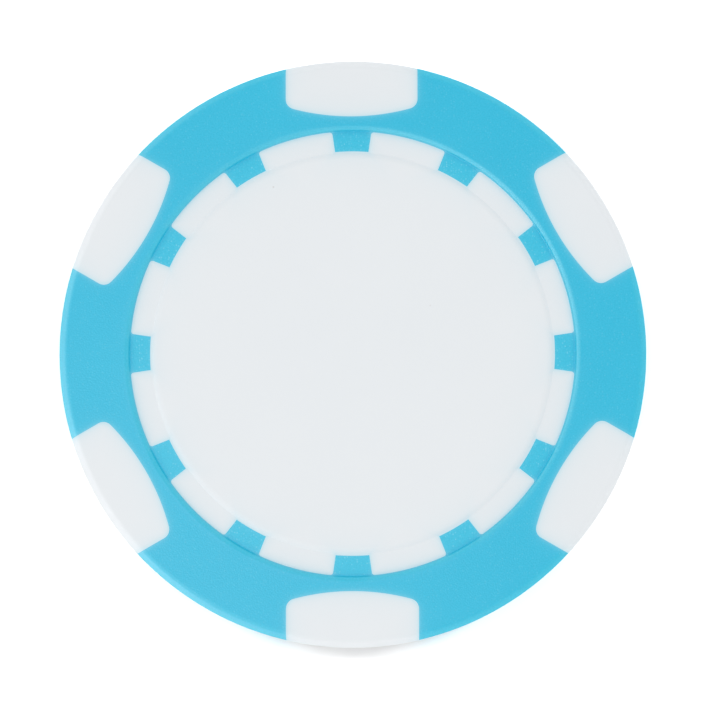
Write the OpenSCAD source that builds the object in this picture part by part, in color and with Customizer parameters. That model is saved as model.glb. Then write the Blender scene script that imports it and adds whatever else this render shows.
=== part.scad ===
// Game chip, moulded in two shots of plastic round a steel weight.
// Sizes are in millimetres. The chip lies flat: Z is its axis and the back rim rests at Z = 0.

/* [Chip] */
// Diameter over the edge
chip_d = 40; // [38:0.5:44]
// Thickness over the two rims
chip_t = 3.3; // [3.1:0.1:4]
// Width of the bevel round each rim, seen from the face
bevel_w = 0.45; // [0.2:0.05:0.8]
// Height of the bevel round each rim, seen from the edge
bevel_h = 0.3; // [0.1:0.05:0.6]

/* [Rim] */
// Width of each rim, from the edge of the chip to the foot of its inner wall
rim_w = 4.84; // [4.2:0.02:5.6]
// Thickness of the coloured plastic of a rim over the white web inside
rim_skin = 0.95; // [0.8:0.05:1.2]
// How far the inner wall of a rim leans outward
wall_run = 0.1; // [0.05:0.01:0.2]
// Width of the softened lip above that wall
lip_w = 0.18; // [0.1:0.02:0.4]
// Height of the softened lip above that wall
lip_h = 0.1; // [0.05:0.01:0.2]

/* [Sunk ring and pad] */
// Depth of the sunk ring below the rim
ring_depth = 0.3; // [0.25:0.05:0.4]
// Width of the sunk ring, from the rim to the foot of the pad
ring_w = 1.46; // [1:0.02:2]
// Rise of the pad above the floor of the sunk ring
pad_rise = 0.12; // [0.05:0.01:0.2]
// Width of the rounded shoulder of the pad
pad_shoulder_w = 0.55; // [0.2:0.05:0.8]

/* [Dashes] */
// Number of coloured dashes in each sunk ring
dash_count = 12; // [6:1:18]
// Width of a dash at the rim
dash_root_w = 2.7; // [2.4:0.02:3.4]
// Width of a dash at its tip
dash_tip_w = 2.3; // [1.6:0.02:2.6]
// Gap between the tip of a dash and the foot of the pad
dash_gap = 0.09; // [0.05:0.01:0.4]
// Depth of a dash below the floor of the sunk ring
dash_depth = 0.3; // [0.15:0.05:0.5]
// Rounding of the white corners beside the root of a dash
dash_root_r = 0.2; // [0.05:0.05:0.4]

/* [Edge spots] */
// Number of white spots round the edge
spot_count = 6; // [4:1:8]
// Width of a spot between its straight sides
spot_w = 9; // [6:0.5:11]
// Width of the coloured neck between the lip and a spot
neck_w = 0.72; // [0.4:0.02:1.2]
// Radius of the curved inner end of a spot
spot_arc_r = 15.5; // [10:0.5:25]
// Rounding of the two inner corners of a spot
spot_corner_r = 0.7; // [0.2:0.1:1.5]

/* [White web] */
// Reach of the web, which ties the edge spots to the core under the rims, past the inner ends of the spots
web_reach = 0.8; // [0.4:0.1:1.5]

/* [Steel weight] */
// Thickness of the white plastic between each pad and the steel disc
pad_cover = 0.52; // [0.4:0.02:0.9]
// How far the edge of the steel disc lies inside the foot of the pad
slug_inset = 0.2; // [0.1:0.1:4]
// Rounding of the edge of the steel disc
slug_edge_r = 0.2; // [0.05:0.05:0.4]

/* [Hidden] */
$fn = 180;

// How far a cutting shape runs past what it cuts
overrun = 1;

// Heights above the middle plane of the chip
half_t = chip_t / 2;
floor_h = half_t - ring_depth;
pad_h = floor_h + pad_rise;
web_h = half_t - rim_skin;
slug_h = pad_h - pad_cover;
full_cut_h = chip_t + 2 * overrun;

// Radii of the circles on each face, from the edge inward and from the wall of the rim outward
chip_r = chip_d / 2;
ring_r = chip_r - rim_w;
pad_r = ring_r - ring_w;
dash_in_r = pad_r + dash_gap;
pad_top_r = pad_r - pad_shoulder_w;
slug_r = pad_r - slug_inset;
wall_top_r = ring_r + wall_run;
lip_r = wall_top_r + lip_w;
spot_end_r = lip_r + neck_w;
web_r = spot_end_r + web_reach;

// The shoulder is an arc that leaves the top of the pad level and meets the floor at the foot of the pad
shoulder_r = (pad_shoulder_w ^ 2 + pad_rise ^ 2) / (2 * pad_rise);

// The side of a dash, as a direction that runs from its tip to the rim, and the direction square to it
dash_side = unit([(dash_root_w - dash_tip_w) / 2, ring_r - dash_in_r]);
dash_across = [dash_side.y, -dash_side.x];

function unit(v) = v / norm(v);

// Outline of the whole chip from its axis to its edge, the same above and below the middle plane
module chip_section() {
    face = [
        [chip_r, half_t - bevel_h],
        [chip_r - bevel_w, half_t],
        [lip_r, half_t],
        [wall_top_r, half_t - lip_h],
        [ring_r, floor_h],
        [0, floor_h]
    ];
    back = [for (i = [len(face) - 1 : -1 : 0]) [face[i].x, -face[i].y]];
    polygon(concat(face, back));
    translate([0, -pad_h])
        square([pad_top_r, 2 * pad_h]);
    for (side = [0, 1])
        mirror([0, side])
            intersection() {
                translate([pad_top_r, pad_h - shoulder_r])
                    circle(shoulder_r);
                translate([pad_top_r, 0])
                    square([pad_shoulder_w, pad_h]);
            }
}

// The finished outside of the chip, both colours together
module chip_blank() {
    rotate_extrude()
        chip_section();
}

// Points of one half of an outline, followed by the other half, mirrored across the Y axis
function both_halves(half) = concat(half, [for (i = [len(half) - 1 : -1 : 0]) [-half[i].x, half[i].y]]);

// A dash seen from the face, pointing along +Y, with the white corners beside its root rounded
module dash_outline() {
    tip = [dash_tip_w / 2, dash_in_r];
    // The rounding touches the side of the dash and, from inside, the circle of the rim
    from = tip + dash_root_r * dash_across;
    along = from * dash_side;
    travel = sqrt(along ^ 2 - from * from + (ring_r - dash_root_r) ^ 2) - along;
    corner = from + travel * dash_side;
    touch = corner - dash_root_r * dash_across;
    outside = corner + (dash_root_r + overrun) * unit(corner);
    difference() {
        polygon(both_halves([tip - overrun * dash_side, touch, corner, outside]));
        circle(dash_in_r);
        for (side = [-1, 1])
            translate([side * corner.x, corner.y])
                circle(dash_root_r);
    }
}

// The pockets for the dashes of both faces
module dash_pockets() {
    for (i = [0 : dash_count - 1], face = [0, 1])
        mirror([0, 0, face])
            rotate(i * 360 / dash_count)
                translate([0, 0, floor_h - dash_depth])
                    linear_extrude(dash_depth + overrun)
                        dash_outline();
}

// An edge spot seen from the face, pointing along +Y, straight sided with a curved inner end
module spot_outline() {
    arc_y = spot_end_r + spot_arc_r;
    corner_x = spot_w / 2 - spot_corner_r;
    corner_y = arc_y - sqrt((spot_arc_r - spot_corner_r) ^ 2 - corner_x ^ 2);
    below_y = spot_end_r - overrun;
    below_x = corner_x * (arc_y - below_y) / (arc_y - corner_y);
    translate([-spot_w / 2, corner_y])
        square([spot_w, chip_r + overrun - corner_y]);
    intersection() {
        translate([0, arc_y])
            circle(spot_arc_r);
        polygon(both_halves([[corner_x, corner_y + spot_corner_r], [corner_x, corner_y], [below_x, below_y]]));
    }
    for (side = [-1, 1])
        translate([side * corner_x, corner_y])
            circle(spot_corner_r);
}

// Everything that the first shot of plastic fills, before it is trimmed to the outside of the chip
module first_shot() {
    difference() {
        cylinder(r = ring_r, h = full_cut_h, center = true);
        dash_pockets();
    }
    cylinder(r = web_r, h = 2 * web_h, center = true);
    for (i = [0 : spot_count - 1])
        rotate(i * 360 / spot_count)
            linear_extrude(full_cut_h, center = true)
                spot_outline();
}

// The steel disc with its rounded edge, centred on the middle plane
module slug_blank() {
    rotate_extrude() {
        translate([0, -slug_h])
            square([slug_r - slug_edge_r, 2 * slug_h]);
        translate([0, slug_edge_r - slug_h])
            square([slug_r, 2 * (slug_h - slug_edge_r)]);
        for (side = [-1, 1])
            translate([slug_r - slug_edge_r, side * (slug_h - slug_edge_r)])
                circle(slug_edge_r);
    }
}

// Weight: a plain steel disc, sealed inside the first shot
module steel_slug() {
    color("#a7abaf")
        translate([0, 0, half_t])
            slug_blank();
}

// First shot: white plastic round the weight, with both pads, the ring floors, the web and the edge spots
module white_core() {
    color("#e8ecef")
        translate([0, 0, half_t])
            difference() {
                intersection() {
                    chip_blank();
                    first_shot();
                }
                slug_blank();
            }
}

// Second shot: blue plastic round the first, with both rims, the edge between the spots and the dashes
module blue_shell() {
    color("#48bfe0")
        translate([0, 0, half_t])
            difference() {
                chip_blank();
                first_shot();
            }
}

steel_slug();
white_core();
blue_shell();
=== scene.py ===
import math

import bpy
import numpy as np
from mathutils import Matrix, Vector
from mathutils.geometry import delaunay_2d_cdt


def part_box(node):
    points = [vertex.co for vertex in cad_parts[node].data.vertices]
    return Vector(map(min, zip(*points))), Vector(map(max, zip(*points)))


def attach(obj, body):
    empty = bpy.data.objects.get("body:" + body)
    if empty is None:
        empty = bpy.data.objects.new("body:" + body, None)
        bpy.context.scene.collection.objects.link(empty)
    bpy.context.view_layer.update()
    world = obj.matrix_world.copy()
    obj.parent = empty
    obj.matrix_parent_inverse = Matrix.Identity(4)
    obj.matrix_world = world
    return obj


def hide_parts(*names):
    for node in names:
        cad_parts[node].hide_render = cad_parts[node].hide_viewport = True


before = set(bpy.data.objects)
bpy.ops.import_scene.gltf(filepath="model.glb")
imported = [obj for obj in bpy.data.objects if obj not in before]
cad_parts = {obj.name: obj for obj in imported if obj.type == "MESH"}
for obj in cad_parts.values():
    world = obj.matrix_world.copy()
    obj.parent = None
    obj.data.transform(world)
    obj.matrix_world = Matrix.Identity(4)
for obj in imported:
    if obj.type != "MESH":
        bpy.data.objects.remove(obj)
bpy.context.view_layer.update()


# Steel weight: a plain disc punched from rolled sheet, tumbled until its edge is round. It gives the chip its
# heft and lies sealed in the middle of the white core, which is moulded round it.

def place(tree, kind, inputs=None, **settings):
    """Adds a node to a tree with its settings, and joins or fills its inputs."""
    node = tree.nodes.new(kind)
    for name, value in settings.items():
        setattr(node, name, value)
    for socket, value in (inputs or {}).items():
        if isinstance(value, bpy.types.NodeSocket):
            tree.links.new(value, node.inputs[socket])
        else:
            node.inputs[socket].default_value = value
    return node


def new_finish(name):
    """A material with an empty Principled shader: the material, its tree, the shader, the object position."""
    material = bpy.data.materials.new(name)
    material.use_nodes = True
    tree = material.node_tree
    tree.nodes.clear()
    shader = place(tree, "ShaderNodeBsdfPrincipled")
    place(tree, "ShaderNodeOutputMaterial", {"Surface": shader.outputs["BSDF"]})
    position = place(tree, "ShaderNodeTexCoord").outputs["Object"]
    return material, tree, shader, position


def blend(tree, share, first, second):
    """The socket of a colour that goes from the first to the second."""
    colours = {"Factor_Float": share, "A_Color": first, "B_Color": second}
    node = tree.nodes.new("ShaderNodeMix")
    node.data_type = "RGBA"
    for socket in node.inputs:
        value = colours.get(socket.identifier)
        if isinstance(value, bpy.types.NodeSocket):
            tree.links.new(value, socket)
        elif value is not None:
            socket.default_value = value
    return next(s for s in node.outputs if s.identifier == "Result_Color")


def spread(tree, value, low, high, from_low=0.0, from_high=1.0):
    """The socket of a value moved to another range."""
    ends = {"Value": value, "From Min": from_low, "From Max": from_high, "To Min": low, "To Max": high}
    return place(tree, "ShaderNodeMapRange", ends).outputs["Result"]


steel_bright = (0.60, 0.61, 0.62, 1)
steel_dull = (0.44, 0.45, 0.46, 1)
steel_smooth, steel_rough = 0.28, 0.46
rolling_scale, rolling_detail = (400, 9000, 400), 4
tumble_scale = 1800
dent_strength, dent_depth = 0.15, 0.00002

steel, tree, shader, position = new_finish("punched_steel")
along_roll = place(tree, "ShaderNodeMapping", {"Vector": position, "Scale": rolling_scale}).outputs["Vector"]
rolling = {"Vector": along_roll, "Scale": 1, "Detail": rolling_detail}
rolled = place(tree, "ShaderNodeTexNoise", rolling).outputs["Fac"]
tumbled = place(tree, "ShaderNodeTexNoise", {"Vector": position, "Scale": tumble_scale}).outputs["Fac"]
tree.links.new(blend(tree, rolled, steel_dull, steel_bright), shader.inputs["Base Color"])
tree.links.new(spread(tree, tumbled, steel_smooth, steel_rough), shader.inputs["Roughness"])
shader.inputs["Metallic"].default_value = 1
dents = place(tree, "ShaderNodeBump", {"Strength": dent_strength, "Distance": dent_depth, "Height": tumbled})
tree.links.new(dents.outputs["Normal"], shader.inputs["Normal"])

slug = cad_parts["steel_slug"]
slug.data.materials.clear()
slug.data.materials.append(steel)


# White core: the first shot of satin ABS, moulded round the steel disc. It is the raised pads, the white
# parts of the sunk rings, the web under the coloured rims and the six spots that run through the edge.

# Sizes in millimetres, heights above the middle plane of the chip
MM = 0.001
box_low, box_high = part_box("blue_shell")
half_t = (box_high.z - box_low.z) / 2 / MM
chip_r = 20.0
bevel_w, bevel_h = 0.45, 0.3
ring_r, ring_depth = 15.16, 0.3
wall_run = 0.1
lip_w, lip_h = 0.18, 0.1
pad_r, pad_rise, shoulder_w = 13.7, 0.12, 0.55
dash_in_r, dash_depth, dash_root_r = 13.79, 0.3, 0.2
dash_root_w, dash_tip_w = 2.7, 2.3
spot_count, spot_w, spot_end_r, spot_arc_r, spot_corner_r = 6, 9.0, 16.16, 15.5, 0.7
web_r, web_h = 16.96, 0.7
slug_r, slug_h, slug_edge_r = 13.5, 0.95, 0.2
floor_h = half_t - ring_depth
pad_h = floor_h + pad_rise
dash_floor_h = floor_h - dash_depth
bevel_r = chip_r - bevel_w
wall_top_r = ring_r + wall_run
lip_r = wall_top_r + lip_w

# Roundings of the mould's corners, and the step and the margin with which they are drawn
shoulder_round, foot_round = 0.9, 0.06
wall_foot_round, wall_round, lip_round = 0.04, 0.16, 0.36
rim_round, edge_round = 0.5, 0.14
arc_step = math.radians(7)
margin = 0.03
touch = 0.0001


def rounded(corners):
    """Points along an outline given as corners (x, y, rounding), with every rounding drawn as an arc."""
    points = [corners[0][:2]]
    for before, (x, y, radius), after in zip(corners, corners[1:], corners[2:]):
        corner = Vector((x, y))
        ahead = (corner - Vector(before[:2])).normalized()
        beyond = (Vector(after[:2]) - corner).normalized()
        turn = ahead.angle(beyond)
        if radius == 0:
            points.append((x, y))
            continue
        inward = (beyond - ahead * ahead.dot(beyond)).normalized()
        start = corner - ahead * radius * math.tan(turn / 2)
        steps = math.ceil(turn / arc_step)
        points.append(tuple(start - ahead * margin))
        for i in range(steps + 1):
            a = turn * i / steps
            points.append(tuple(start + radius * (math.sin(a) * ahead + (1 - math.cos(a)) * inward)))
        points.append(tuple(corner + beyond * (radius * math.tan(turn / 2) + margin)))
    points.append(corners[-1][:2])
    return points


# Half section of a face, from the axis out to the upright edge of the chip
shoulder_knee = (shoulder_w ** 2 + pad_rise ** 2) / (2 * shoulder_w)
section = rounded([
    (0, pad_h, 0),
    (pad_r - shoulder_w + shoulder_knee, pad_h, shoulder_round),
    (pad_r, floor_h, foot_round),
    (ring_r, floor_h, wall_foot_round),
    (wall_top_r, half_t - lip_h, wall_round),
    (lip_r, half_t, lip_round),
    (bevel_r, half_t, rim_round),
    (chip_r, half_t - bevel_h, edge_round),
    (chip_r, 0, 0),
])
upright = [point for point in section if point[0] > chip_r - touch]
section = [point for point in section if point not in upright[1:]]
section_r, section_h = zip(*section)


def polar(radius, angle):
    """A point of the plan at an angle from +Y."""
    return Vector((radius * math.sin(angle), radius * math.cos(angle)))


# Outline of half an edge spot: its curved end, its rounded corner and its straight side
wedge = math.pi / spot_count
spot_end_points, spot_corner_points = 14, 12
arc_y = spot_end_r + spot_arc_r
corner_x = spot_w / 2 - spot_corner_r
corner_y = arc_y - math.sqrt((spot_arc_r - spot_corner_r) ** 2 - corner_x ** 2)
corner_turn = math.atan2(corner_x, arc_y - corner_y)
spot_end = [
    Vector((spot_arc_r * math.sin(a), arc_y - spot_arc_r * math.cos(a)))
    for a in np.linspace(0, corner_turn, spot_end_points)
]
spot_corner = [
    Vector((corner_x + spot_corner_r * math.sin(a), corner_y - spot_corner_r * math.cos(a)))
    for a in np.linspace(corner_turn, math.pi / 2, spot_corner_points)[1:]
]

# Outline of half a dash: its side, and the rounded white corner beside its root
dash_root_points = 7
dash_tip = Vector((dash_tip_w / 2, dash_in_r))
dash_side = Vector(((dash_root_w - dash_tip_w) / 2, ring_r - dash_in_r)).normalized()
dash_across = Vector((dash_side.y, -dash_side.x))


def to_circle(start, direction, radius):
    """The point where a line from the start, run outward, meets a circle round the axis."""
    along = start.dot(direction)
    return start + direction * (math.sqrt(along ** 2 - start.length_squared + radius ** 2) - along)


dash_tip_corner = to_circle(dash_tip, dash_side, dash_in_r)
root_centre = to_circle(dash_tip + dash_root_r * dash_across, dash_side, ring_r - dash_root_r)
root_turn = (-dash_across).angle(root_centre.normalized())
dash_root = [
    root_centre + dash_root_r * (dash_side * math.sin(a) - dash_across * math.cos(a))
    for a in np.linspace(0, root_turn, dash_root_points)
]

# Plan of half a sector, whose rings carry the section of a face and whose outlines part the two shots
wedge_steps, fewest_steps = 30, 2
clear_share = 0.4
pad_rings = [4.0, 8.0, 11.0]
rim_rings = [web_r, 18.2]
spot_side_r = math.hypot(spot_w / 2, corner_y)
radii = sorted({*section_r, dash_in_r, ring_r, *pad_rings, *rim_rings} - {0})
plan, plan_index = [], {}


def pin(point):
    """The number of a point of the plan, which is added if none is as near as a touch."""
    column, row = round(point.x / touch), round(point.y / touch)
    for cell in ((column + i, row + k) for i in (-1, 0, 1) for k in (-1, 0, 1)):
        if cell in plan_index:
            return plan_index[cell]
    plan_index[column, row] = len(plan)
    plan.append(point)
    return plan_index[column, row]


def marks(radius):
    """Angles at which outlines of the two shots meet a ring."""
    if radius == dash_in_r:
        first = polar(1, 0).angle(dash_tip_corner)
        return [first, wedge - first]
    if radius == ring_r:
        first = polar(1, 0).angle(dash_root[-1])
        return [first, wedge - first]
    return [math.asin(spot_w / 2 / radius)] if radius > spot_side_r else []


def ring_angles(radius):
    """Angles of the points of a ring: even ones, with the marks in place of those close to them."""
    steps = max(fewest_steps, round(wedge_steps * min(1, radius / (pad_r - shoulder_w))))
    clear = clear_share * wedge / steps
    even = [wedge * i / steps for i in range(steps + 1)]
    return sorted([a for a in even if all(abs(a - m) > clear for m in marks(radius))] + marks(radius))


def ring(radius, start=0.0, end=wedge):
    """Points of a ring between two angles."""
    slack = touch / radius
    return [pin(polar(radius, a)) for a in ring_angles(radius) if start - slack < a < end + slack]


def side(angle, inner, outer):
    """Points along one side of the half sector."""
    return [pin(polar(r, angle)) for r in sorted([0, spot_end_r, *radii]) if inner <= r <= outer]


def disc(radius):
    """Outline of the half sector out to a radius."""
    return side(0, 0, radius) + ring(radius)[1:-1] + side(wedge, 0, radius)[:0:-1]


def across_dash(point):
    """The same place beside the other dash of the half sector."""
    middle = polar(1, wedge / 2)
    return 2 * point.dot(middle) * middle - point


spot_sides = [Vector((spot_w / 2, math.sqrt(r ** 2 - (spot_w / 2) ** 2))) for r in radii if r > spot_side_r]
spot_loop = [pin(p) for p in spot_end + spot_corner + spot_sides]
spot_loop += ring(chip_r, 0, marks(chip_r)[0])[-2::-1] + side(0, spot_end_r, chip_r)[-2:0:-1]
tip_mark, root_mark = marks(dash_in_r), marks(ring_r)
near_dash = ring(dash_in_r, 0, tip_mark[0]) + [pin(p) for p in dash_root]
near_dash += ring(ring_r, 0, root_mark[0])[-2::-1] + side(0, dash_in_r, ring_r)[-2:0:-1]
far_dash = ring(dash_in_r, tip_mark[1], wedge)[::-1] + [pin(across_dash(p)) for p in dash_root]
far_dash += ring(ring_r, root_mark[1], wedge)[1:] + side(wedge, dash_in_r, ring_r)[-2:0:-1]
loops = {"rim": disc(chip_r), "web": disc(web_r), "core": disc(ring_r), "spot": spot_loop}
loops.update(dash=near_dash, other_dash=far_dash)


def anticlockwise(loop):
    """The loop, turned round where it runs clockwise."""
    points = [plan[i] for i in loop]
    area = sum(a.cross(b) for a, b in zip(points, points[1:] + points[:1]))
    return loop if area > 0 else loop[::-1]


creases = [pair for r in radii for pair in zip(ring(r), ring(r)[1:])]
outlines = [anticlockwise(loop) for loop in loops.values()]
inside_outlines, same_place = 1, 1e-7
plan, _, tiles, _, _, owners = delaunay_2d_cdt(plan, creases, outlines, inside_outlines, same_place, True)
region_names = list(loops)
owned_tiles = [(tile, owned_by) for tile, owned_by in zip(tiles, owners) if owned_by]


def region(owned_by):
    """The innermost outline that a tile of the plan lies in."""
    names = {region_names[i] for i in owned_by}
    if names & {"dash", "other_dash"}:
        return "dash"
    return next(name for name in ("spot", "core", "web", "rim") if name in names)


def face_h(point):
    """Height of the outside of the chip."""
    return float(np.interp(point.length, section_r, section_h))


def shot_h(name, point):
    """Height up to which the first shot fills a region."""
    depths = {"dash": dash_floor_h, "web": web_h, "rim": 0.0}
    return depths[name] if name in depths else face_h(point)


def new_shell():
    """A shell with no points or faces yet."""
    return {"points": [], "index": {}, "faces": []}


def add_face(shell, corners):
    """Adds a face, whose corners are (x, y, height), to a shell. Corners that are alike share a point."""
    alike_digits = 6
    face = []
    for corner in corners:
        key = tuple(round(c, alike_digits) for c in corner)
        if key not in shell["index"]:
            shell["index"][key] = len(shell["points"])
            shell["points"].append(tuple(c * MM for c in corner))
        face.append(shell["index"][key])
    shell["faces"].append(face)


white, blue = new_shell(), new_shell()
beside = {}
for tile, owned_by in owned_tiles:
    name = region(owned_by)
    beside.update({(a, b): name for a, b in zip(tile, tile[1:] + tile[:1])})
    outside = [(*plan[i], face_h(plan[i])) for i in tile]
    add_face(white if name in ("core", "spot") else blue, outside)
    if name in ("dash", "web"):
        seam = [(*plan[i], shot_h(name, plan[i])) for i in tile]
        add_face(white, seam)
        add_face(blue, seam[::-1])

# Upright walls: where the first shot ends against the second, and round the edge of the chip
walls = []
for (a, b), name in beside.items():
    other = beside.get((b, a))
    p, q = plan[a], plan[b]
    if other is None and min(p.length, q.length) > chip_r - 2 * touch:
        for (_, high), (_, low) in zip(upright, upright[1:]):
            walls.append((a, b, low, low, high, high, white if name == "spot" else blue, None))
    elif other is not None and shot_h(name, p) > shot_h(other, p):
        low_p, low_q = shot_h(other, p), shot_h(other, q)
        high_p, high_q = shot_h(name, p), shot_h(name, q)
        walls.append((a, b, low_p, low_q, high_p, high_q, white, blue))
levels = {}
for a, b, low_a, low_b, high_a, high_b, _, _ in walls:
    levels.setdefault(a, set()).update((low_a, high_a))
    levels.setdefault(b, set()).update((low_b, high_b))
for a, b, low_a, low_b, high_a, high_b, front, back in walls:
    up = [(*plan[b], h) for h in sorted(levels[b]) if low_b <= h <= high_b]
    down = [(*plan[a], h) for h in sorted(levels[a], reverse=True) if low_a <= h <= high_a]
    add_face(front, up + down)
    if back:
        add_face(back, (up + down)[::-1])

# Pocket round the steel disc, drawn from inside
pocket = rounded([(0, slug_h, 0), (slug_r, slug_h, slug_edge_r), (slug_r, 0, 0)])
for (r, h), (r_next, h_next) in zip(pocket, pocket[1:]):
    for i in range(wedge_steps):
        a, b = (wedge * (i + k) / wedge_steps for k in (0, 1))
        corners = [(*polar(r, a), h), (*polar(r_next, a), h_next), (*polar(r_next, b), h_next)]
        add_face(white, corners if r == 0 else corners + [(*polar(r, b), h)])


def mirrored(tree, half, scale):
    """The socket of a geometry joined with its mirror image."""
    turned = place(tree, "GeometryNodeTransform", {"Geometry": half, "Scale": scale}).outputs["Geometry"]
    image = place(tree, "GeometryNodeFlipFaces", {"Mesh": turned}).outputs["Mesh"]
    both = place(tree, "GeometryNodeJoinGeometry")
    for part in (image, half):
        tree.links.new(part, both.inputs["Geometry"])
    return both.outputs["Geometry"]


def whole_from_wedge():
    """The node tree that makes a whole shot of the chip from half a sector of its upper half."""
    tree = bpy.data.node_groups.new("whole_from_wedge", "GeometryNodeTree")
    for name, kind in (("Wedge", "Geometry"), ("Sectors", "Int"), ("Lift", "Float"), ("Weld", "Float"),
                       ("Finish", "Material")):
        tree.interface.new_socket(name, in_out="INPUT", socket_type="NodeSocket" + kind)
    tree.interface.new_socket("Whole", in_out="OUTPUT", socket_type="NodeSocketGeometry")
    given = tree.nodes.new("NodeGroupInput").outputs
    sector = mirrored(tree, mirrored(tree, given["Wedge"], (-1, 1, 1)), (1, 1, -1))
    lift = place(tree, "ShaderNodeCombineXYZ", {"Z": given["Lift"]}).outputs["Vector"]
    lifted = place(tree, "GeometryNodeTransform", {"Geometry": sector, "Translation": lift})
    pitch = place(tree, "ShaderNodeMath", {0: 2 * math.pi, 1: given["Sectors"]}, operation="DIVIDE")
    number = place(tree, "GeometryNodeInputIndex").outputs["Index"]
    angle = place(tree, "ShaderNodeMath", {0: number, 1: pitch.outputs[0]}, operation="MULTIPLY")
    turn = place(tree, "ShaderNodeCombineXYZ", {"Z": angle.outputs[0]}).outputs["Vector"]
    centres = place(tree, "GeometryNodePoints", {"Count": given["Sectors"]}).outputs["Points"]
    round_axis = {"Points": centres, "Instance": lifted.outputs["Geometry"], "Rotation": turn}
    copies = place(tree, "GeometryNodeInstanceOnPoints", round_axis).outputs["Instances"]
    real = place(tree, "GeometryNodeRealizeInstances", {"Geometry": copies}).outputs["Geometry"]
    welded = place(tree, "GeometryNodeMergeByDistance", {"Geometry": real, "Distance": given["Weld"]})
    smooth = place(tree, "GeometryNodeSetShadeSmooth", {"Geometry": welded.outputs["Geometry"]})
    finished = place(tree, "GeometryNodeSetMaterial",
                     {"Geometry": smooth.outputs["Geometry"], "Material": given["Finish"]})
    place(tree, "NodeGroupOutput", {"Whole": finished.outputs["Geometry"]})
    return tree


wedge_tree = whole_from_wedge()
weld = 0.0008
crease_angle = math.radians(20)


def shot_piece(name, shell, finish):
    """A piece with the whole of one shot as a plain mesh."""
    mesh = bpy.data.meshes.new(name)
    mesh.from_pydata(shell["points"], [], shell["faces"])
    piece = bpy.data.objects.new(name, mesh)
    bpy.context.scene.collection.objects.link(piece)
    modifier = piece.modifiers.new("whole", "NODES")
    modifier.node_group = wedge_tree
    values = {"Sectors": spot_count, "Lift": half_t * MM, "Weld": weld * MM, "Finish": finish}
    for item in wedge_tree.interface.items_tree:
        if item.in_out == "INPUT" and item.name in values:
            modifier[item.identifier] = values[item.name]
    whole = piece.evaluated_get(bpy.context.evaluated_depsgraph_get())
    piece.data = bpy.data.meshes.new_from_object(whole)
    piece.modifiers.remove(modifier)
    bpy.data.meshes.remove(mesh)
    piece.data.name = name
    piece.data.set_sharp_from_angle(angle=crease_angle)
    return piece


def reckon(tree, operation, *terms):
    """The socket of one step of arithmetic."""
    return place(tree, "ShaderNodeMath", dict(enumerate(terms)), operation=operation).outputs[0]


def hypotenuse(tree, first, second):
    """The socket of the longest side of a triangle whose other two sides are square to each other."""
    squares = [reckon(tree, "MULTIPLY", leg, leg) for leg in (first, second)]
    return reckon(tree, "SQRT", reckon(tree, "ADD", *squares))


def shader_group(name, inputs, outputs):
    """An empty group of shader nodes: its tree, its input sockets and its output node."""
    tree = bpy.data.node_groups.new(name, "ShaderNodeTree")
    for socket, kind in inputs.items():
        tree.interface.new_socket(socket, in_out="INPUT", socket_type="NodeSocket" + kind)
    for socket in outputs:
        tree.interface.new_socket(socket, in_out="OUTPUT", socket_type="NodeSocketFloat")
    return tree, tree.nodes.new("NodeGroupInput").outputs, tree.nodes.new("NodeGroupOutput")


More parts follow.
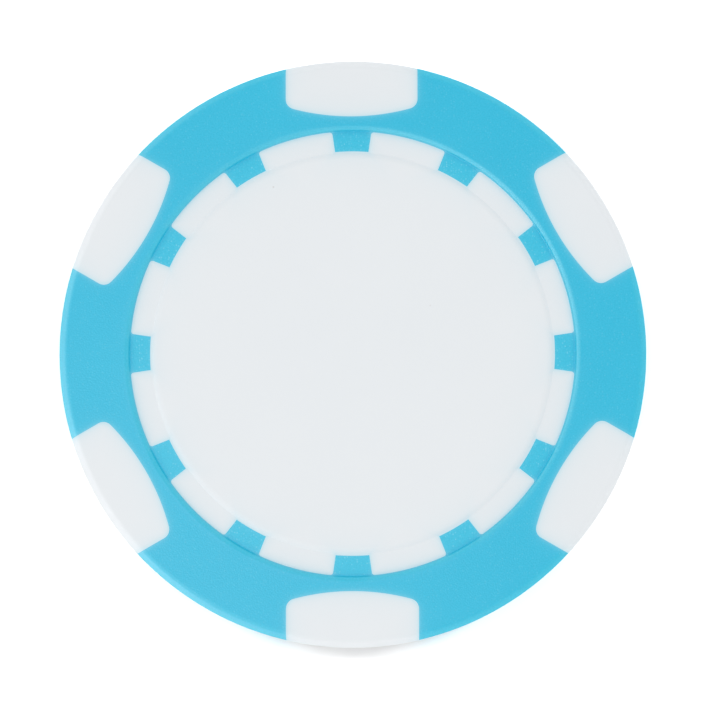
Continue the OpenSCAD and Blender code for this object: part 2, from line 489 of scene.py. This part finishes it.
def chip_places():
    """The group that finds places on the chip: beside a seam, in a dash, on a lip or bevel painted paler as
    sheen, on a worn edge.
    """
    dash_fade = 0.4
    bevel_share, bevel_fade = 0.8, 0.2
    lip_fade = 0.15
    worn_reach, worn_fade = 0.06, 0.26
    needs = {"Position": "Vector", "Reach": "Float", "Wide reach": "Float", "Wide share": "Float"}
    tree, given, out = shader_group("chip_places", needs, ["Bleed", "Dash", "Edge", "Worn"])
    parts = place(tree, "ShaderNodeSeparateXYZ", {"Vector": given["Position"]}).outputs
    x = reckon(tree, "DIVIDE", parts["X"], MM)
    y = reckon(tree, "DIVIDE", parts["Y"], MM)
    radius = hypotenuse(tree, x, y)
    angle = reckon(tree, "ARCTAN2", x, y)

    def folded(pitch):
        """Distances across and along the middle line of the nearest of the shapes that repeat at a pitch."""
        turn = reckon(tree, "ABSOLUTE", reckon(tree, "WRAP", angle, pitch / 2, -pitch / 2))
        across = reckon(tree, "MULTIPLY", radius, reckon(tree, "SINE", turn))
        return across, reckon(tree, "MULTIPLY", radius, reckon(tree, "COSINE", turn))

    # Distance past the outline of a spot, which is below zero inside it
    across, along = folded(2 * wedge)
    past_side = reckon(tree, "SUBTRACT", across, corner_x)
    from_centre = hypotenuse(tree, across, reckon(tree, "SUBTRACT", along, arc_y))
    past_end = reckon(tree, "SUBTRACT", from_centre, spot_arc_r - spot_corner_r)
    side_out = reckon(tree, "MAXIMUM", past_side, 0.0)
    end_out = reckon(tree, "MAXIMUM", past_end, 0.0)
    corner_out = hypotenuse(tree, side_out, end_out)
    inside = reckon(tree, "MINIMUM", reckon(tree, "MAXIMUM", past_side, past_end), 0.0)
    past_spot = reckon(tree, "SUBTRACT", reckon(tree, "ADD", corner_out, inside), spot_corner_r)

    # Distance past the rest of the white, which ends at the wall of the rim and at the dashes
    across, along = folded(wedge)
    past_side = reckon(tree, "ADD", reckon(tree, "MULTIPLY", across, dash_across.x),
                       reckon(tree, "MULTIPLY", along, dash_across.y))
    past_side = reckon(tree, "SUBTRACT", past_side, dash_tip.dot(dash_across))
    past_tip = reckon(tree, "SUBTRACT", dash_in_r, radius)
    past_dash = reckon(tree, "MAXIMUM", past_side, past_tip)
    past_core = reckon(tree, "SUBTRACT", radius, ring_r)
    past_white = reckon(tree, "MAXIMUM", past_core, reckon(tree, "MULTIPLY", past_dash, -1.0))
    gap = reckon(tree, "ABSOLUTE", reckon(tree, "MINIMUM", past_white, past_spot))

    def faded(reach):
        """The part of a tint that is left at this distance from the seam."""
        return reckon(tree, "EXPONENT", reckon(tree, "MULTIPLY", reckon(tree, "DIVIDE", gap, reach), -1.0))

    close_share = reckon(tree, "SUBTRACT", 1.0, given["Wide share"])
    close = reckon(tree, "MULTIPLY", faded(given["Reach"]), close_share)
    wide = reckon(tree, "MULTIPLY", faded(given["Wide reach"]), given["Wide share"])
    bleed = reckon(tree, "ADD", close, wide)
    dash = spread(tree, radius, 1.0, 0.0, ring_r - dash_fade, ring_r)
    # Lips and bevels, where the blue shell paints a paler colour as painted sheen
    bevel = spread(tree, radius, 0.0, bevel_share, bevel_r - bevel_fade, chip_r - bevel_w / 4)
    lip_in = spread(tree, radius, 0.0, 1.0, ring_r, wall_top_r)
    lip_out = spread(tree, radius, 1.0, 0.0, wall_top_r, lip_r + lip_fade)
    edge = reckon(tree, "MAXIMUM", bevel, reckon(tree, "MINIMUM", lip_in, lip_out))
    worn_bevel = spread(tree, radius, 0.0, 1.0, bevel_r - worn_fade, bevel_r)
    worn_in = spread(tree, radius, 0.0, 1.0, ring_r - worn_fade, ring_r - worn_reach)
    worn_out = spread(tree, radius, 1.0, 0.0, lip_r + worn_reach, lip_r + worn_reach + worn_fade)
    worn = reckon(tree, "MAXIMUM", worn_bevel, reckon(tree, "MINIMUM", worn_in, worn_out))
    for socket, value in {"Bleed": bleed, "Dash": dash, "Edge": edge, "Worn": worn}.items():
        tree.links.new(value, out.inputs[socket])
    return tree


def mould_grain():
    """The group for a moulded surface: fine grain, broad unevenness, flecks where glints are painted, and few
    specks of dust.
    """
    fine_detail, broad_detail, detail_share = 1.5, 4, 0.6
    broad_per_mm = 0.16
    flecks_per_mm, fleck_r = 6.0, 0.08
    no_fleck, full_fleck = 0.35, 0.95
    dust_per_mm, dust_heart = 0.3, 0.5
    needs = {"Position": "Vector", "Grain": "Float", "Speck": "Float"}
    tree, given, out = shader_group("mould_grain", needs, ["Height", "Mottle", "Glint flecks", "Dust"])
    scaled = place(tree, "ShaderNodeVectorMath", {0: given["Position"], "Scale": 1 / MM}, operation="SCALE")
    in_mm = scaled.outputs["Vector"]

    def noise(scale, detail):
        """The socket of a noise with a number of waves to the millimetre."""
        waves = {"Vector": in_mm, "Scale": scale, "Detail": detail, "Roughness": detail_share}
        return place(tree, "ShaderNodeTexNoise", waves).outputs["Fac"]

    def scattered(per_mm):
        """Distance in millimetres to the nearest of scattered points, and a colour of that point's own."""
        cells = place(tree, "ShaderNodeTexVoronoi", {"Vector": in_mm, "Scale": per_mm}).outputs
        return reckon(tree, "DIVIDE", cells["Distance"], per_mm), cells["Color"]

    fine = noise(reckon(tree, "DIVIDE", 1.0, given["Grain"]), fine_detail)
    broad = noise(broad_per_mm, broad_detail)
    # Flecks, where the blue shell paints glints
    away, lot = scattered(flecks_per_mm)
    chance = place(tree, "ShaderNodeSeparateColor", {"Color": lot}).outputs["Red"]
    bright = spread(tree, chance, 0.0, 1.0, no_fleck, full_fleck)
    glint_flecks = reckon(tree, "MULTIPLY", spread(tree, away, 1.0, 0.0, 0.0, fleck_r), bright)
    away, _ = scattered(dust_per_mm)
    heart_r = reckon(tree, "MULTIPLY", given["Speck"], dust_heart)
    dust = spread(tree, away, 1.0, 0.0, heart_r, given["Speck"])
    for socket, value in {"Height": fine, "Mottle": broad, "Glint flecks": glint_flecks, "Dust": dust}.items():
        tree.links.new(value, out.inputs[socket])
    return tree


place_group = chip_places()
grain_group = mould_grain()

# Range in which most of a noise lies and its middle, and the size and strength of a speck of dust
noise_low, noise_high, noise_middle = 0.3, 0.7, 0.5
speck_r, speck_share = 0.09, 0.35


def moulded_abs(name, colour, mottled, tint, reach, wide_reach, wide_share, most_tint, grain, grain_height,
                dust_colour, smoothest, roughest, ior):
    """Satin moulded plastic whose colour takes a tint of its neighbour's beside the seams."""
    material, tree, shader, position = new_finish(name)
    seams = {"Position": position, "Reach": reach, "Wide reach": wide_reach, "Wide share": wide_share}
    places = place(tree, "ShaderNodeGroup", seams, node_tree=place_group).outputs
    mould = {"Position": position, "Grain": grain, "Speck": speck_r}
    skin = place(tree, "ShaderNodeGroup", mould, node_tree=grain_group).outputs
    mottle = spread(tree, skin["Mottle"], 0.0, 1.0, noise_low, noise_high)
    body = blend(tree, mottle, colour, mottled)
    body = blend(tree, reckon(tree, "MULTIPLY", places["Bleed"], most_tint), body, tint)
    body = blend(tree, reckon(tree, "MULTIPLY", skin["Dust"], speck_share), body, dust_colour)
    tree.links.new(body, shader.inputs["Base Color"])
    roughness = spread(tree, skin["Height"], smoothest, roughest, noise_low, noise_high)
    tree.links.new(roughness, shader.inputs["Roughness"])
    shader.inputs["IOR"].default_value = ior
    # The grain is worn smooth on the edges
    unworn = reckon(tree, "SUBTRACT", 1.0, places["Worn"])
    relief = reckon(tree, "MULTIPLY", reckon(tree, "SUBTRACT", skin["Height"], noise_middle), unworn)
    bump = place(tree, "ShaderNodeBump", {"Strength": 1.0, "Distance": grain_height * MM, "Height": relief})
    tree.links.new(bump.outputs["Normal"], shader.inputs["Normal"])
    return material, tree, shader, places, skin, body


white_abs, *_ = moulded_abs(
    "white_abs",
    colour=(0.788, 0.820, 0.845, 1),
    mottled=(0.798, 0.828, 0.851, 1),
    tint=(0.30, 0.69, 0.83, 1),
    reach=0.16,
    wide_reach=0.9,
    wide_share=0.25,
    most_tint=0.5,
    grain=0.11,
    grain_height=0.004,
    dust_colour=(0.45, 0.40, 0.36, 1),
    smoothest=0.40,
    roughest=0.48,
    ior=1.38,
)
core = shot_piece("core_with_edge_spots", white, white_abs)
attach(core, "root")
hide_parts("white_core")


# Blue shell: the second shot of ABS, moulded over the web and round the spots of the first. It is the rims of
# both faces, the edge between the spots and the dashes in the sunk rings, and glints painted on the mould's
# grain make it sparkle.

# Colours and shares for the white showing through the dashes, the painted sheen on the lips and bevels, the
# painted shade of the grain and its painted glints
over_white, dash_share = (0.021, 0.530, 0.745, 1), 0.7
painted_edge_sheen, painted_edge_sheen_share = (0.053, 0.555, 0.735, 1), 0.75
grain_dark, grain_light = 0.96, 1.04
painted_glint, grain_glint_share = (0.17, 0.64, 0.82, 1), 0.06
rim_glint, dash_glint = 0.35, 0.95
blue_abs, tree, shader, places, skin, body = moulded_abs(
    "blue_abs",
    colour=(0.004, 0.477, 0.706, 1),
    mottled=(0.006, 0.489, 0.718, 1),
    tint=(0.30, 0.66, 0.80, 1),
    reach=0.13,
    wide_reach=0.5,
    wide_share=0.15,
    most_tint=0.4,
    grain=0.11,
    grain_height=0.014,
    dust_colour=(0.12, 0.53, 0.72, 1),
    smoothest=0.34,
    roughest=0.44,
    ior=1.48,
)
# The dashes are thin, so the white under them shows through a little. The lips and bevels are painted paler
# as painted sheen, and all of it gets painted shade in the pits of the grain and painted light on its peaks.
body = blend(tree, reckon(tree, "MULTIPLY", places["Dash"], dash_share), body, over_white)
body = blend(tree, reckon(tree, "MULTIPLY", places["Edge"], painted_edge_sheen_share), body, painted_edge_sheen)
# Painted shade and light: darker in the pits of the grain, lighter on its peaks
shade = spread(tree, skin["Height"], grain_dark, grain_light, noise_low, noise_high)
body = place(tree, "ShaderNodeHueSaturation", {"Color": body, "Value": shade}).outputs["Color"]
# Painted glints: the peaks of the grain all over, and its flecks most of all on the dashes, are painted
# lighter
grain_glint = spread(tree, skin["Height"], 0.0, grain_glint_share, noise_low, noise_high)
glint = spread(tree, places["Dash"], rim_glint, dash_glint)
fleck_glint = reckon(tree, "MULTIPLY", skin["Glint flecks"], glint)
body = blend(tree, reckon(tree, "MAXIMUM", fleck_glint, grain_glint), body, painted_glint)
tree.links.new(body, shader.inputs["Base Color"])
shell = shot_piece("rims_edge_and_dashes", blue, blue_abs)
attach(shell, "root")
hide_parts("blue_shell")


# Table: a plain pale sheet on which the chip lies. It is white to the eye, and it keeps the soft shadow
# beside the lower edge of the chip.

def seen_directly(tree):
    """The socket that is 1 for what the eye sees, in a gloss or through glass too, and 0 for other light."""
    ray = place(tree, "ShaderNodeLightPath").outputs
    in_gloss = reckon(tree, "MAXIMUM", ray["Is Glossy Ray"], ray["Is Transmission Ray"])
    return reckon(tree, "MAXIMUM", ray["Is Camera Ray"], in_gloss)


table_size, table_drop = 3.0, 0.00001
table_to_eye, table_to_chip = (0.85, 0.85, 0.85, 1), (0.62, 0.62, 0.62, 1)
bpy.ops.mesh.primitive_plane_add(size=table_size, location=(0, 0, -table_drop))
table = bpy.context.object
table.name = "table"
pale = bpy.data.materials.new("pale_table")
pale.use_nodes = True
tree = pale.node_tree
tree.nodes.clear()
direct = seen_directly(tree)
to_chip = place(tree, "ShaderNodeBsdfDiffuse", {"Color": table_to_chip}).outputs["BSDF"]
to_eye = place(tree, "ShaderNodeBsdfDiffuse", {"Color": table_to_eye}).outputs["BSDF"]
mixed = place(tree, "ShaderNodeMixShader", {0: direct, 1: to_chip, 2: to_eye}).outputs["Shader"]
place(tree, "ShaderNodeOutputMaterial", {"Surface": mixed})
table.data.materials.append(pale)


# Light: an even white tent, a little lighter on the left towards the lower edge of the picture. Lamps, most
# of them on that side, only show in the gloss: one beside the camera, and five low down and three at half
# height for the bevels and the walls. Two more light the table alone.

tent_level, tent_lean = 0.993, 0.07
lean_azimuth = math.radians(222)
lean_side = (math.cos(lean_azimuth), math.sin(lean_azimuth), 0)
world = bpy.data.worlds.new("white_tent")
bpy.context.scene.world = world
world.use_nodes = True
tree = world.node_tree
tree.nodes.clear()
outward = place(tree, "ShaderNodeTexCoord").outputs["Generated"]
facing = place(tree, "ShaderNodeVectorMath", {0: outward, 1: lean_side}, operation="DOT_PRODUCT")
leaning = reckon(tree, "MULTIPLY", facing.outputs["Value"], tent_lean)
tent = reckon(tree, "ADD", leaning, tent_level)
direct = seen_directly(tree)
unseen = reckon(tree, "MULTIPLY", tent, reckon(tree, "SUBTRACT", 1.0, direct))
level = reckon(tree, "ADD", unseen, direct)
cloth = place(tree, "ShaderNodeBackground", {"Color": (1, 1, 1, 1), "Strength": level})
place(tree, "ShaderNodeOutputWorld", {"Surface": cloth.outputs["Background"]})


def softbox(name, azimuth, height, distance, width, depth, watts):
    """A lamp that faces the chip, at an azimuth counted from +X and a height above the horizon."""
    lamp = bpy.data.lights.new(name, "AREA")
    lamp.shape = "RECTANGLE"
    lamp.size, lamp.size_y, lamp.energy = width, depth, watts
    holder = bpy.data.objects.new(name, lamp)
    a, e = math.radians(azimuth), math.radians(height)
    holder.location = distance * Vector((math.cos(a) * math.cos(e), math.sin(a) * math.cos(e), math.sin(e)))
    holder.rotation_euler = holder.location.to_track_quat("Z", "Y").to_euler()
    bpy.context.scene.collection.objects.link(holder)
    return holder


away = 0.3
gloss_lamps = [
    softbox("camera_softbox", azimuth=221, height=72.5, distance=away, width=0.08, depth=0.08, watts=0.14)
]
for azimuth, watts in ((142, 0.12), (178, 0.28), (210, 0.28), (238, 0.30), (282, 0.06)):
    lamp = softbox("low_softbox", azimuth, height=22, distance=away, width=0.22, depth=0.075, watts=watts)
    gloss_lamps.append(lamp)
for azimuth in (180, 212, 244):
    lamp = softbox("half_height_softbox", azimuth, height=50, distance=away, width=0.16, depth=0.06,
                   watts=0.07)
    gloss_lamps.append(lamp)
for lamp in gloss_lamps:
    lamp.visible_diffuse = False

# The two lamps of the table. Either keeps it white, so the shadow shows where the chip is in the way of both.
lit_by_them = bpy.data.collections.new("lit_by_table_lamps")
lit_by_them.objects.link(table)
for azimuth in (24, 156):
    lamp = softbox("table_lamp", azimuth, height=44, distance=0.5, width=0.13, depth=0.10, watts=1.75)
    lamp.light_linking.receiver_collection = lit_by_them


# Camera: nearly straight above the chip and close to it, leaning a little to the lower edge of the picture
# and to the right, as the photograph was taken.

photo_px = 709
px_per_mm = 14.71
camera_distance = 160.0
aim = Vector((0.168, -0.133, 2 * half_t))
lean_down, lean_right, roll = math.radians(2.75), math.radians(1.22), math.radians(0.104)
camera = bpy.data.cameras.new("camera")
camera.sensor_width = 36.0
camera.lens = camera.sensor_width * px_per_mm * camera_distance / photo_px
viewer = bpy.data.objects.new("camera", camera)
viewer.rotation_euler = (lean_down, lean_right, -roll)
backward = viewer.rotation_euler.to_matrix() @ Vector((0, 0, 1))
viewer.location = (aim + camera_distance * backward) * MM
bpy.context.scene.collection.objects.link(viewer)
bpy.context.scene.camera = viewer
bpy.context.scene.view_settings.view_transform = "Standard"
